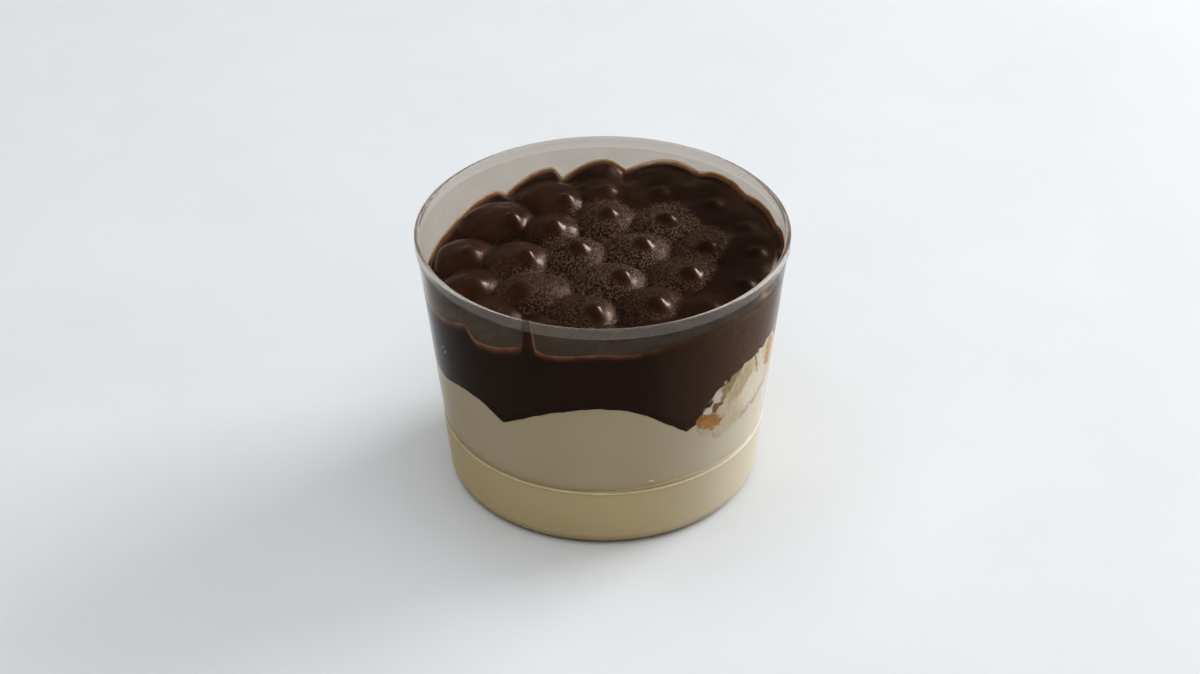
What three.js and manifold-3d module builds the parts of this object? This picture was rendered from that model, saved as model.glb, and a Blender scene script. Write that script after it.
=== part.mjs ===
// A profiterole cup: a clear plastic dessert cup holding custard, cream and chocolate sauce,
// with small sauce-coated profiteroles packed side by side over the top.
// Millimetres, +Z up. The origin is the middle of the underside, and the front faces -Y.
// Directions round the cup are degrees from the front (-Y) towards +X.

import * as THREE from "three";
import { mergeVertices } from "three/addons/utils/BufferGeometryUtils.js";
import Module from "manifold-3d";

// Driving dimensions of the cup
const RIM_RADIUS = 47.5;
const CUP_HEIGHT = 70;
const WALL = 0.8;
const LIP_HEIGHT = 2.4;
const LIP_STEP = 0.5;
const LIP_ROUND = 0.35;
const WAIST_HEIGHT = 17.4;
const WAIST_RADIUS = 41.2;
const WALL_FOOT_HEIGHT = 19.9;
const WALL_FOOT_RADIUS = 41.8;
const SKIRT_TOP_RADIUS = 41.7;
const SKIRT_LEDGE = 0.4;
const SKIRT_FOOT_RADIUS = 40.4;
const CORNER_RADIUS = 4;
const FLOOR_TOP = 1.3;
const RECESS_RADIUS = 30;
const RECESS_DEPTH = 0.5;
const CUP_SIDES = 48;
const OUTER_CORNER_STEPS = 4;
const INNER_CORNER_STEPS = 3;

// Clearance between solids that touch in the real food
const GAP = 0.3;

// Custard fills the foot of the cup to its waist, a little higher on one side
const CUSTARD_LEVEL = 17.2;
const CUSTARD_SWELL = { toward: 28, height: 1.5, spread: 26 };

// Heights against the wall, as [direction, height, shape]: a round point is a smooth crest
// or dip, a sharp one is a cusp
const ROUND = 0;
const SHARP = 1;
const CREAM_EDGE = [
  [-150, 40, ROUND], [-100, 37.5, ROUND], [-72, 36.2, ROUND], [-50, 39.2, ROUND], [-35.5, 35, SHARP],
  [0, 45, ROUND], [28.5, 33.2, SHARP], [56, 41, ROUND], [90, 44, ROUND], [140, 39.5, ROUND], [180, 41.5, ROUND],
];
const CREAM_MIDDLE = 41;

const SAUCE_EDGE = [
  [-166.6, 58.3, SHARP], [-162.5, 61.8, ROUND], [-146, 57.4, SHARP], [-141, 59.4, ROUND], [-112, 56.2, ROUND],
  [-85, 54.9, ROUND], [-68, 56, ROUND], [-48, 60.6, SHARP], [-43, 57, ROUND], [-26, 60.4, SHARP],
  [-20.5, 60.4, SHARP], [-17.5, 59.6, ROUND], [0, 61, ROUND], [7, 60.5, ROUND], [24, 62.1, ROUND],
  [38, 63, ROUND], [58, 61.8, ROUND], [72, 61, ROUND], [95, 64.3, ROUND], [104, 63.1, SHARP],
  [113.7, 64, ROUND], [125.4, 63.1, SHARP], [136.5, 64.8, ROUND], [146, 63.3, SHARP], [155, 64.6, ROUND],
  [172, 60, SHARP], [179, 62.8, ROUND],
];

// Away from the wall the sauce is lowest at the left and drowns the profiteroles at the right
const SAUCE_MIDDLE = 59.5;
const SAUCE_RIGHT = { toward: 104, from: 12, to: 34, rise: 3.6 };
const SAUCE_BACK = { toward: 180, from: 18, to: 32, rise: 1.2 };
const SAUCE_LEFT = { toward: -90, from: 15, to: 37, rise: -1.6 };
const SAUCE_EDGE_START = 30;

// A run of sauce that climbed the wall to the rim
const RUN = { direction: -23.5, halfWidth: 0.85, flare: 1.1, top: 69.7, thickness: 1.4 };

// Profiteroles seen from above: centre, half width and half depth, turn in degrees, top of the
// dome, place of the piped nub from the centre, and how far the nub stands up
const PROFITEROLES = [
  { at: [-13, 30], half: [7.8, 8.2], turn: 0, top: 63.3, nubAt: [3.8, -4], nub: 1.5 },
  { at: [-27, 21], half: [10.2, 9.2], turn: 30, top: 63.3, nubAt: [4.2, -4.6], nub: 1.5 },
  { at: [-12.9, 15.2], half: [7.2, 7.6], turn: 0, top: 63.7, nubAt: [0.6, -3.2], nub: 1.4 },
  { at: [0.8, 32.6], half: [7.2, 7.6], turn: 0, top: 63.1, nubAt: [0.4, -2], nub: 1 },
  { at: [0.9, 19.6], half: [8.2, 8.4], turn: 0, top: 63.9, nubAt: [0.7, -1.6], nub: 1.4 },
  { at: [14.8, 29.8], half: [7.8, 7.8], turn: 0, top: 63.7, nubAt: [0, -1], nub: 1 },
  { at: [16.9, 16.2], half: [9.4, 8.8], turn: 0, top: 64.1, nubAt: [-0.2, -1.4], nub: 1.3 },
  { at: [28.9, 22], half: [7.6, 7.6], turn: 0, top: 63.9, nubAt: [0, -0.6], nub: 1.1 },
  { at: [37.2, 11], half: [7.2, 7.2], turn: 0, top: 63.9, nubAt: [-0.4, -1], nub: 0.9 },
  { at: [37.6, -1.8], half: [7.4, 7], turn: 0, top: 63.9, nubAt: [1.2, -0.4], nub: 1 },
  { at: [26.2, 3.2], half: [7.4, 7.4], turn: 0, top: 63.9, nubAt: [0.3, -2], nub: 1.4 },
  { at: [8.4, 4], half: [9, 8.4], turn: 0, top: 64.1, nubAt: [2.2, -1.4], nub: 1.3 },
  { at: [-7, 2.6], half: [8.2, 8.2], turn: 0, top: 63.9, nubAt: [1.2, -1.8], nub: 1.4 },
  { at: [-22, 0.6], half: [8.6, 8.8], turn: -8, top: 63.9, nubAt: [3, -3.9], nub: 1.6 },
  { at: [1.2, -10.4], half: [9.6, 8.2], turn: 8, top: 64.1, nubAt: [4, -2.5], nub: 1.5 },
  { at: [19.6, -8], half: [9.2, 8.2], turn: 0, top: 63.9, nubAt: [2.6, -3], nub: 1.5 },
  { at: [34.9, -14], half: [8, 7.8], turn: 0, top: 63.9, nubAt: [0.6, -2.4], nub: 1.1 },
  { at: [12.6, -21.2], half: [8, 8.4], turn: 0, top: 63.7, nubAt: [1, -3.6], nub: 1.4 },
  { at: [-5.8, -24.6], half: [8.6, 8.4], turn: 12, top: 63.5, nubAt: [4.2, -3.6], nub: 1.4 },
  { at: [-17, -14], half: [9.4, 8.2], turn: -6, top: 63.7, nubAt: [-4, -4.2], nub: 0.8 },
  { at: [-32.6, -9.4], half: [7.6, 7.8], turn: 0, top: 62.7, nubAt: [0.8, -4.4], nub: 0.9 },
  { at: [-34.6, 5.2], half: [8, 8.2], turn: 0, top: 62.5, nubAt: [0.8, -4], nub: 0.9 },
  { at: [-27.4, -22.6], half: [7.6, 7.2], turn: -35, top: 62.1, nubAt: [-0.6, -2.6], nub: 0.8 },
  { at: [25.4, -23.8], half: [8.2, 7.6], turn: 25, top: 63.5, nubAt: [0.7, -2.4], nub: 0.8 },
  { at: [-15.6, -34], half: [7.8, 7], turn: -20, top: 61.7, nubAt: [0.8, -1], nub: 0.8 },
  { at: [0.6, -37], half: [8, 6.6], turn: 0, top: 61.7, nubAt: [0.8, -1], nub: 1 },
  { at: [15.8, -34.6], half: [7.8, 6.8], turn: 20, top: 61.9, nubAt: [0.8, -0.6], nub: 1 },
];
const DOME_FULLNESS = 0.7;
const DOME_LEAN = 0.55;
const DOME_SUNK = 0.3;
const NUB_RADIUS = 2.4;
const NUB_FILLET = 0.45;
const DOME_SIDES = 14;
const DOME_RINGS = [1, 0.88, 0.68, 0.44, 0.27, 0.15, 0.06];
const DOME_EDGE = 0.25;
const DOME_ROOT = 2;

// The profiterole pressed against the wall, between the cream and the sauce: its middle, half
// length along the wall, half depth and half height, and two crossing waves that make it lumpy
const PRESSED = { direction: 57.3, height: 38.8, inFrom: 3.4, half: [21, 8, 10], tilt: -11.7, lumps: 0.05 };
const BUN_WAVES = { broad: [5, 4], shift: 1, fine: [9, -6], fineShare: 0.6 };
const PRESSED_DETAIL = 3;

// How finely the layers are divided: degrees between directions, and the shares of the way out
// to the wall at which their rings lie
const ROUND_STEP = 7.5;
const NEAREST_SHARE = 0.4;
const CUSTARD_TOP_RINGS = [0.4, 0.75];
const CUSTARD_FLOOR_RINGS = [0.9];
const CREAM_TOP_RINGS = [0.35, 0.65, 0.85];
const SAUCE_TOP_RINGS = [0.2, 0.4, 0.58, 0.74, 0.87, 0.968];
const CUSTARD_SIDE_STEPS = 3;
const OTHER_SIDE_STEPS = 2;
const EDGE_PASSES = 4;
const REACH_HALVINGS = 24;
const MERGE_TOLERANCE = 1e-4;

const degrees = THREE.MathUtils.degToRad;
const smooth = (value, from, to) => THREE.MathUtils.smoothstep(value, from, to);
const along = (x, y, direction) => x * Math.sin(degrees(direction)) - y * Math.cos(degrees(direction));
const directionOf = (x, y) => THREE.MathUtils.radToDeg(Math.atan2(x, -y));

// Profile of the cup's inside from the middle of the floor to the rim
function arc(centreX, centreY, radius, steps) {
  const points = [];
  for (let step = 0; step <= steps; step += 1) {
    const angle = -Math.PI / 2 + (Math.PI / 2) * (step / steps);
    points.push(new THREE.Vector2(centreX + radius * Math.cos(angle), centreY + radius * Math.sin(angle)));
  }
  return points;
}

function insideProfile() {
  const cornerRadius = CORNER_RADIUS - WALL;
  const footRadius = SKIRT_FOOT_RADIUS - WALL;
  return [
    new THREE.Vector2(0, FLOOR_TOP),
    ...arc(footRadius - cornerRadius, FLOOR_TOP + cornerRadius, cornerRadius, INNER_CORNER_STEPS),
    new THREE.Vector2(SKIRT_TOP_RADIUS - WALL, WAIST_HEIGHT - SKIRT_LEDGE - WALL / 2),
    new THREE.Vector2(WAIST_RADIUS - WALL, WAIST_HEIGHT),
    new THREE.Vector2(WALL_FOOT_RADIUS - WALL, WALL_FOOT_HEIGHT),
    new THREE.Vector2(RIM_RADIUS - LIP_STEP - WALL, CUP_HEIGHT - LIP_HEIGHT),
    new THREE.Vector2(RIM_RADIUS - LIP_STEP - WALL, CUP_HEIGHT - LIP_ROUND),
  ];
}

const INSIDE = insideProfile();

function insideRadius(height) {
  for (let i = 2; i < INSIDE.length; i += 1) {
    const low = INSIDE[i - 1];
    const high = INSIDE[i];
    if (height <= high.y) {
      return THREE.MathUtils.mapLinear(Math.max(height, low.y), low.y, high.y, low.x, high.x);
    }
  }
  return INSIDE.at(-1).x;
}

const contentRadius = (height) => insideRadius(height) - GAP;

// Height at a direction on a closed edge of round and sharp points
function edgeHeight(edge, direction) {
  const turned = THREE.MathUtils.euclideanModulo(direction - edge[0][0], 360) + edge[0][0];
  const closed = [...edge, [edge[0][0] + 360, edge[0][1], edge[0][2]]];
  const next = closed.findIndex((point, i) => i > 0 && turned < point[0]);
  const [from, low, shapeFrom] = closed[next - 1];
  const [to, high, shapeTo] = closed[next];
  const part = (turned - from) / (to - from);
  let share = (1 - Math.cos(Math.PI * part)) / 2;
  if (shapeFrom === SHARP && shapeTo === SHARP) {
    share = part;
  } else if (shapeFrom === SHARP) {
    share = Math.sin((Math.PI / 2) * part);
  } else if (shapeTo === SHARP) {
    share = 1 - Math.cos((Math.PI / 2) * part);
  }
  return low + (high - low) * share;
}

function custardTop(x, y) {
  const swell = (directionOf(x, y) - CUSTARD_SWELL.toward) / CUSTARD_SWELL.spread;
  const outward = Math.hypot(x, y) / WAIST_RADIUS;
  return CUSTARD_LEVEL + CUSTARD_SWELL.height * Math.exp(-swell * swell) * outward * outward;
}

function creamTop(x, y) {
  const outward = Math.hypot(x, y) / contentRadius(CREAM_MIDDLE);
  const share = Math.min(outward * outward, 1);
  return CREAM_MIDDLE + (edgeHeight(CREAM_EDGE, directionOf(x, y)) - CREAM_MIDDLE) * share;
}

function sauceTop(x, y) {
  let level = SAUCE_MIDDLE;
  for (const slope of [SAUCE_RIGHT, SAUCE_BACK, SAUCE_LEFT]) {
    level += slope.rise * smooth(along(x, y, slope.toward), slope.from, slope.to);
  }
  const edge = edgeHeight(SAUCE_EDGE, directionOf(x, y));
  return THREE.MathUtils.lerp(level, edge, smooth(Math.hypot(x, y), SAUCE_EDGE_START, contentRadius(edge)));
}

// The sauce surface with the run that climbs the wall
function sauceTopWithRun(x, y) {
  const base = sauceTop(x, y);
  const radius = Math.hypot(x, y);
  const aside = Math.abs(degrees(directionOf(x, y) - RUN.direction)) * radius;
  const climb = smooth(radius, contentRadius(base) - RUN.thickness, contentRadius(base));
  const share = 1 - THREE.MathUtils.clamp((aside - RUN.halfWidth) / RUN.flare, 0, 1);
  return base + (RUN.top - base) * share * climb;
}

// Directions every few degrees, with the given ones added and near neighbours dropped
function directions(step, extra = []) {
  const kept = [...extra];
  for (let direction = -180; direction < 180; direction += step) {
    if (extra.every((other) => Math.abs(other - direction) > step * NEAREST_SHARE)) kept.push(direction);
  }
  return kept.sort((a, b) => a - b);
}

// A closed solid from rings of equal length, listed from the lower pole to the upper one
function solidFromRings(lowerPole, rings, upperPole) {
  const count = rings[0].length;
  const points = [lowerPole, ...rings.flat(), upperPole];
  const at = (ring, k) => 1 + ring * count + (k % count);
  const spread = (ring) => ring.reduce((sum, p) => sum + Math.hypot(p[0] - upperPole[0], p[1] - upperPole[1]), 0);
  const index = [];
  for (let k = 0; k < count; k += 1) {
    index.push(0, at(0, k + 1), at(0, k));
    index.push(points.length - 1, at(rings.length - 1, k), at(rings.length - 1, k + 1));
  }
  for (let ring = 0; ring < rings.length - 1; ring += 1) {
    const inward = spread(rings[ring + 1]) < spread(rings[ring]);
    for (let k = 0; k < count; k += 1) {
      const [a, b, c, d] = [at(ring, k), at(ring, k + 1), at(ring + 1, k + 1), at(ring + 1, k)];
      index.push(...(inward ? [a, b, d, b, c, d] : [a, b, c, a, c, d]));
    }
  }
  const geometry = new THREE.BufferGeometry();
  geometry.setAttribute("position", new THREE.Float32BufferAttribute(points.flat(), 3));
  geometry.setIndex(index);
  return geometry;
}

// A layer that fills the cup between two surfaces, each with its height as a function of place
function layer(bottom, top, rounds, bottomShares, topShares, sideSteps) {
  const ringAt = (height, share) => rounds.map((direction) => {
    const [across, back] = [Math.sin(degrees(direction)), -Math.cos(degrees(direction))];
    let radius = WAIST_RADIUS;
    for (let pass = 0; pass < EDGE_PASSES; pass += 1) {
      radius = contentRadius(height(across * radius, back * radius));
    }
    const [x, y] = [across * radius * share, back * radius * share];
    return [x, y, height(x, y)];
  });
  const lower = ringAt(bottom, 1);
  const upper = ringAt(top, 1);
  const sides = [];
  for (let step = 1; step < sideSteps; step += 1) {
    sides.push(lower.map((low, k) => {
      const height = THREE.MathUtils.lerp(low[2], upper[k][2], step / sideSteps);
      const direction = degrees(rounds[k]);
      const radius = contentRadius(height);
      return [radius * Math.sin(direction), -radius * Math.cos(direction), height];
    }));
  }
  const rings = [
    ...bottomShares.map((share) => ringAt(bottom, share)), lower, ...sides, upper,
    ...topShares.toReversed().map((share) => ringAt(top, share)),
  ];
  return solidFromRings([0, 0, bottom(0, 0)], rings, [0, 0, top(0, 0)]);
}

// The dome of a profiterole: nested ellipses that lean towards its nub
function domeHeight(profiterole, x, y) {
  const { at, half, turn, top, nubAt, nub } = profiterole;
  const [cos, sin] = [Math.cos(degrees(turn)), Math.sin(degrees(turn))];
  const local = (dx, dy) => [(dx * cos + dy * sin) / half[0], (dy * cos - dx * sin) / half[1]];
  const [apexX, apexY] = local(DOME_LEAN * nubAt[0], DOME_LEAN * nubAt[1]);
  const [placeX, placeY] = local(x - at[0], y - at[1]);
  const [fromX, fromY] = [placeX - apexX, placeY - apexY];
  const dot = fromX * apexX + fromY * apexY;
  const rest = 1 - apexX * apexX - apexY * apexY;
  const outward = (dot + Math.sqrt(dot * dot + rest * (fromX * fromX + fromY * fromY))) / rest;
  const base = sauceTop(at[0], at[1]) - DOME_SUNK;
  const dome = base + (top - base) * Math.max(1 - outward * outward, 0) ** DOME_FULLNESS;
  const fromNub = Math.hypot(x - at[0] - nubAt[0], y - at[1] - nubAt[1]) / NUB_RADIUS;
  return dome + NUB_FILLET * Math.log(1 + Math.exp((nub * (1 - fromNub * fromNub)) / NUB_FILLET));
}

// Radius of the outline from the centre in a given direction
function ellipseRadius(profiterole, dx, dy) {
  const [cos, sin] = [Math.cos(degrees(profiterole.turn)), Math.sin(degrees(profiterole.turn))];
  const across = (dx * cos + dy * sin) / profiterole.half[0];
  const back = (dy * cos - dx * sin) / profiterole.half[1];
  return Math.hypot(dx, dy) / Math.hypot(across, back);
}

// Distance from a start point to the edge of the footprint: its own outline, the valley to
// each neighbour, or the wall
function footprintReach(profiterole, start, dx, dy) {
  const isInside = (x, y) => {
    const [fromX, fromY] = [x - profiterole.at[0], y - profiterole.at[1]];
    if (Math.hypot(fromX, fromY) > ellipseRadius(profiterole, fromX, fromY)) return false;
    if (Math.hypot(x, y) > contentRadius(sauceTop(x, y)) - GAP / 2) return false;
    return PROFITEROLES.every((other) => {
      if (other === profiterole) return true;
      const [awayX, awayY] = [other.at[0] - profiterole.at[0], other.at[1] - profiterole.at[1]];
      const distance = Math.hypot(awayX, awayY);
      const own = ellipseRadius(profiterole, awayX, awayY);
      const valley = (distance * own) / (own + ellipseRadius(other, awayX, awayY));
      return (fromX * awayX + fromY * awayY) / distance < valley - GAP / 2;
    });
  };
  let [near, far] = [0, 2 * Math.max(...profiterole.half)];
  for (let halving = 0; halving < REACH_HALVINGS; halving += 1) {
    const middle = (near + far) / 2;
    if (isInside(start[0] + dx * middle, start[1] + dy * middle)) {
      near = middle;
    } else {
      far = middle;
    }
  }
  return near;
}

// A dome that reaches down into the sauce, before the sauce's surface trims it
function profiteroleDome(profiterole) {
  const start = [profiterole.at[0] + profiterole.nubAt[0], profiterole.at[1] + profiterole.nubAt[1]];
  const underside = (x, y) => sauceTop(x, y) - DOME_ROOT;
  const topside = (x, y) => Math.max(domeHeight(profiterole, x, y), sauceTop(x, y) + GAP + DOME_EDGE);
  const rays = [];
  for (let side = 0; side < DOME_SIDES; side += 1) {
    const angle = (2 * Math.PI * side) / DOME_SIDES;
    const [dx, dy] = [Math.cos(angle), Math.sin(angle)];
    rays.push([dx, dy, footprintReach(profiterole, start, dx, dy)]);
  }
  const ringAt = (share, height) => rays.map(([dx, dy, reach]) => {
    const [x, y] = [start[0] + dx * reach * share, start[1] + dy * reach * share];
    return [x, y, height(x, y)];
  });
  const rings = [ringAt(1, underside), ...DOME_RINGS.map((share) => ringAt(share, topside))];
  return solidFromRings([...start, underside(...start)], rings, [...start, topside(...start)]);
}

// The clear cup, turned from its profile
function cupGeometry() {
  const wallTop = CUP_HEIGHT - LIP_HEIGHT;
  const outside = [
    new THREE.Vector2(0, RECESS_DEPTH),
    new THREE.Vector2(RECESS_RADIUS, RECESS_DEPTH),
    new THREE.Vector2(RECESS_RADIUS + RECESS_DEPTH, 0),
    ...arc(SKIRT_FOOT_RADIUS - CORNER_RADIUS, CORNER_RADIUS, CORNER_RADIUS, OUTER_CORNER_STEPS),
    new THREE.Vector2(SKIRT_TOP_RADIUS, WAIST_HEIGHT - SKIRT_LEDGE),
    new THREE.Vector2(WAIST_RADIUS, WAIST_HEIGHT),
    new THREE.Vector2(WALL_FOOT_RADIUS, WALL_FOOT_HEIGHT),
    new THREE.Vector2(RIM_RADIUS - LIP_STEP, wallTop - LIP_STEP),
    new THREE.Vector2(RIM_RADIUS, wallTop),
    new THREE.Vector2(RIM_RADIUS, CUP_HEIGHT - LIP_ROUND),
    new THREE.Vector2(RIM_RADIUS - LIP_ROUND, CUP_HEIGHT),
    new THREE.Vector2(RIM_RADIUS - LIP_STEP - WALL + LIP_ROUND, CUP_HEIGHT),
  ];
  return new THREE.LatheGeometry([...outside, ...INSIDE.toReversed()], CUP_SIDES).rotateX(Math.PI / 2);
}

// A lumpy choux bun bent round the wall and larger all round by the given amount, before the
// wall flattens it
function chouxBun(grow) {
  const geometry = new THREE.IcosahedronGeometry(1, PRESSED_DETAIL);
  const place = geometry.getAttribute("position");
  const point = new THREE.Vector3();
  const upright = new THREE.Vector3(0, 1, 0);
  const half = new THREE.Vector3(...PRESSED.half).addScalar(grow);
  const wall = insideRadius(PRESSED.height);
  const { broad, shift, fine, fineShare } = BUN_WAVES;
  for (let i = 0; i < place.count; i += 1) {
    point.fromBufferAttribute(place, i);
    const broadWave = Math.sin(broad[0] * point.x + shift) * Math.cos(broad[1] * point.z);
    const fineWave = Math.sin(fine[0] * point.x + fine[1] * point.z);
    point.multiplyScalar(1 + PRESSED.lumps * (broadWave + fineShare * fineWave));
    point.multiply(half).applyAxisAngle(upright, degrees(PRESSED.tilt));
    const turn = degrees(PRESSED.direction) + point.x / wall;
    const radius = wall - PRESSED.inFrom - point.y;
    place.setXYZ(i, radius * Math.sin(turn), -radius * Math.cos(turn), PRESSED.height + point.z);
  }
  return geometry;
}

// Solid cutting and joining
const wasm = await Module();
wasm.setup();

function toManifold(geometry) {
  const bare = geometry.clone();
  bare.deleteAttribute("normal");
  bare.deleteAttribute("uv");
  const merged = mergeVertices(bare, MERGE_TOLERANCE);
  const vertProperties = new Float32Array(merged.getAttribute("position").array);
  const triVerts = new Uint32Array(merged.getIndex().array);
  return new wasm.Manifold(new wasm.Mesh({ numProp: 3, vertProperties, triVerts }));
}

function toGeometry(manifold) {
  const mesh = manifold.getMesh();
  const geometry = new THREE.BufferGeometry();
  geometry.setAttribute("position", new THREE.Float32BufferAttribute(mesh.vertProperties, 3));
  geometry.setIndex([...mesh.triVerts]);
  return geometry;
}

// The biggest body of a cut solid, without loose scraps
function biggestBody(manifold) {
  return manifold.decompose().reduce((best, body) => (body.volume() > best.volume() ? body : best));
}

function insideSolid() {
  const top = SAUCE_MIDDLE;
  const profile = INSIDE.filter((point) => point.y < top)
    .map((point) => new THREE.Vector2(Math.max(point.x - GAP, 0), point.y + GAP));
  profile.push(new THREE.Vector2(contentRadius(top), top), new THREE.Vector2(0, top));
  return new THREE.LatheGeometry(profile, CUP_SIDES).rotateX(Math.PI / 2);
}

// The layers, with room cut in them for the pressed profiterole
const sharpDirections = (edge) => edge.filter((point) => point[2] === SHARP).map((point) => point[0]);
const runAngle = THREE.MathUtils.radToDeg(RUN.halfWidth / contentRadius(RUN.top));
const rounds = directions(ROUND_STEP, [
  ...sharpDirections(SAUCE_EDGE), ...sharpDirections(CREAM_EDGE), RUN.direction - runAngle, RUN.direction + runAngle,
]);
const sauceBottomAt = (x, y) => creamTop(x, y) + GAP;
const bunRoom = toManifold(chouxBun(GAP));

const custardFloorAt = () => FLOOR_TOP + GAP;
const creamBottomAt = (x, y) => custardTop(x, y) + GAP;

const custard = layer(
  custardFloorAt, custardTop, rounds, CUSTARD_FLOOR_RINGS, CUSTARD_TOP_RINGS, CUSTARD_SIDE_STEPS,
);
const cream = toGeometry(toManifold(layer(
  creamBottomAt, creamTop, rounds, CUSTARD_TOP_RINGS, CREAM_TOP_RINGS, OTHER_SIDE_STEPS,
)).subtract(bunRoom));
const sauceSolid = toManifold(layer(
  sauceBottomAt, sauceTopWithRun, rounds, CREAM_TOP_RINGS, SAUCE_TOP_RINGS, OTHER_SIDE_STEPS,
)).subtract(bunRoom);
const sauceRaised = sauceSolid.translate([0, 0, GAP]);
const pressed = toGeometry(toManifold(chouxBun(0)).intersect(toManifold(insideSolid())));

// Finishes
const clearPlastic = new THREE.MeshStandardMaterial({
  color: 0xd9d6cf, roughness: 0.15, metalness: 0, transparent: true, opacity: 0.3,
});
const custardFinish = new THREE.MeshStandardMaterial({ color: 0xe3d09a, roughness: 0.45, metalness: 0 });
const creamFinish = new THREE.MeshStandardMaterial({ color: 0xe6dcc2, roughness: 0.5, metalness: 0 });
const sauceFinish = new THREE.MeshStandardMaterial({ color: 0x2c1a12, roughness: 0.25, metalness: 0 });
const chouxFinish = new THREE.MeshStandardMaterial({ color: 0xc89a62, roughness: 0.7, metalness: 0 });

// The cup with everything in it
const profiteroleCup = new THREE.Group();

function add(name, geometry, material) {
  const mesh = new THREE.Mesh(geometry, material);
  mesh.name = name;
  profiteroleCup.add(mesh);
}

add("cup", cupGeometry(), clearPlastic);
add("custard_base", custard, custardFinish);
add("cream_layer", cream, creamFinish);
add("chocolate_sauce", toGeometry(sauceSolid), sauceFinish);
add("pressed_profiterole", pressed, chouxFinish);
PROFITEROLES.forEach((profiterole, i) => {
  const trimmed = biggestBody(toManifold(profiteroleDome(profiterole)).subtract(sauceRaised));
  add(`profiterole_${String(i + 1).padStart(2, "0")}`, toGeometry(trimmed), sauceFinish);
});

export default profiteroleCup;
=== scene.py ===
# A profiterole cup: a hazy clear dessert cup with custard, cream and chocolate sauce, and small
# sauce-coated profiteroles packed over the top. Sizes are in millimetres until a mesh is settled.
import math
import bmesh
import bpy
import numpy as np
from mathutils import Matrix, Vector, noise


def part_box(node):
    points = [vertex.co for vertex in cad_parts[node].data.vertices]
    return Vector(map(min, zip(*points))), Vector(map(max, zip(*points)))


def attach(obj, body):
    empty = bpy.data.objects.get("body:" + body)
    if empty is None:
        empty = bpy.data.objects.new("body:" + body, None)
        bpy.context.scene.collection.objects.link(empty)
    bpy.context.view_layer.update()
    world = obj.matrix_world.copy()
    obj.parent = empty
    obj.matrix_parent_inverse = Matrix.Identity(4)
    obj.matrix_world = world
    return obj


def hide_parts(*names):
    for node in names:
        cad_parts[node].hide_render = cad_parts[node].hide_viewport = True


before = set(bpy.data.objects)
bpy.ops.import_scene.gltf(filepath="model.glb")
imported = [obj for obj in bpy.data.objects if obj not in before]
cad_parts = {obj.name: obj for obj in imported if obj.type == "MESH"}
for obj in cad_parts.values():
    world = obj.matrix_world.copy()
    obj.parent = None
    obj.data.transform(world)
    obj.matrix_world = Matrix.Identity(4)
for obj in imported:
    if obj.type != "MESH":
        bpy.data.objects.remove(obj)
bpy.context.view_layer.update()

# The cup: clear polypropylene with a slight haze, moulded in one shot. A straight foot with a
# rounded corner steps in to a waist, and from there the wall leans out to a thicker lip band.
MM = 0.001
cup_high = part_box("cup")[1] / MM
RIM_RADIUS = cup_high.x
CUP_HEIGHT = cup_high.z
WALL = 0.8
LIP_HEIGHT = 2.4
LIP_STEP = 0.5
LIP_ROUND = 0.35
WAIST_HEIGHT = 17.4
WAIST_RADIUS = 41.2
WALL_FOOT_HEIGHT = 19.9
WALL_FOOT_RADIUS = 41.8
SKIRT_TOP_RADIUS = 41.7
SKIRT_LEDGE = 0.4
SKIRT_FOOT_RADIUS = 40.4
CORNER_RADIUS = 4
CORNER_STEPS = 10
INNER_CORNER_STEPS = 8
FLOOR_TOP = 1.3
RECESS_RADIUS = 30
RECESS_DEPTH = 0.5
# Rings round the inside of the wall, close enough to follow the filling's edge
RINGS_FROM = 54
RING_SPACING = 0.4
CUP_STEPS = 288
SHARP_TURN = math.radians(13)
EDGE_ROUND = 0.13
EDGE_ROUND_STEPS = 3
MERGE = 0.0001


def corner_arc(centre_radius, centre_height, radius, steps):
    """A quarter circle of radii and heights, from below its centre to the outside of it."""
    points = []
    for step in range(steps + 1):
        angle = -math.pi / 2 + math.pi / 2 * step / steps
        points.append((centre_radius + radius * math.cos(angle), centre_height + radius * math.sin(angle)))
    return points


wall_top = CUP_HEIGHT - LIP_HEIGHT
lip_inside = RIM_RADIUS - LIP_STEP - WALL
outside_profile = [
    (0, RECESS_DEPTH),
    (RECESS_RADIUS, RECESS_DEPTH),
    (RECESS_RADIUS + RECESS_DEPTH, 0),
    *corner_arc(SKIRT_FOOT_RADIUS - CORNER_RADIUS, CORNER_RADIUS, CORNER_RADIUS, CORNER_STEPS),
    (SKIRT_TOP_RADIUS, WAIST_HEIGHT - SKIRT_LEDGE),
    (WAIST_RADIUS, WAIST_HEIGHT),
    (WALL_FOOT_RADIUS, WALL_FOOT_HEIGHT),
    (RIM_RADIUS - LIP_STEP, wall_top - LIP_STEP),
    (RIM_RADIUS, wall_top),
    (RIM_RADIUS, CUP_HEIGHT - LIP_ROUND),
    (RIM_RADIUS - LIP_ROUND, CUP_HEIGHT),
    (lip_inside + LIP_ROUND, CUP_HEIGHT),
]
inner_corner = CORNER_RADIUS - WALL
ring_heights = np.arange(RINGS_FROM, wall_top, RING_SPACING)
ring_radii = np.interp(ring_heights, (WALL_FOOT_HEIGHT, wall_top), (WALL_FOOT_RADIUS - WALL, lip_inside))
inside_profile = [
    (0, FLOOR_TOP),
    *corner_arc(
        SKIRT_FOOT_RADIUS - WALL - inner_corner, FLOOR_TOP + inner_corner, inner_corner, INNER_CORNER_STEPS,
    ),
    (SKIRT_TOP_RADIUS - WALL, WAIST_HEIGHT - SKIRT_LEDGE - WALL / 2),
    (WAIST_RADIUS - WALL, WAIST_HEIGHT),
    (WALL_FOOT_RADIUS - WALL, WALL_FOOT_HEIGHT),
    *zip(ring_radii, ring_heights),
    (lip_inside, wall_top),
    (lip_inside, CUP_HEIGHT - LIP_ROUND),
]


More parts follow.
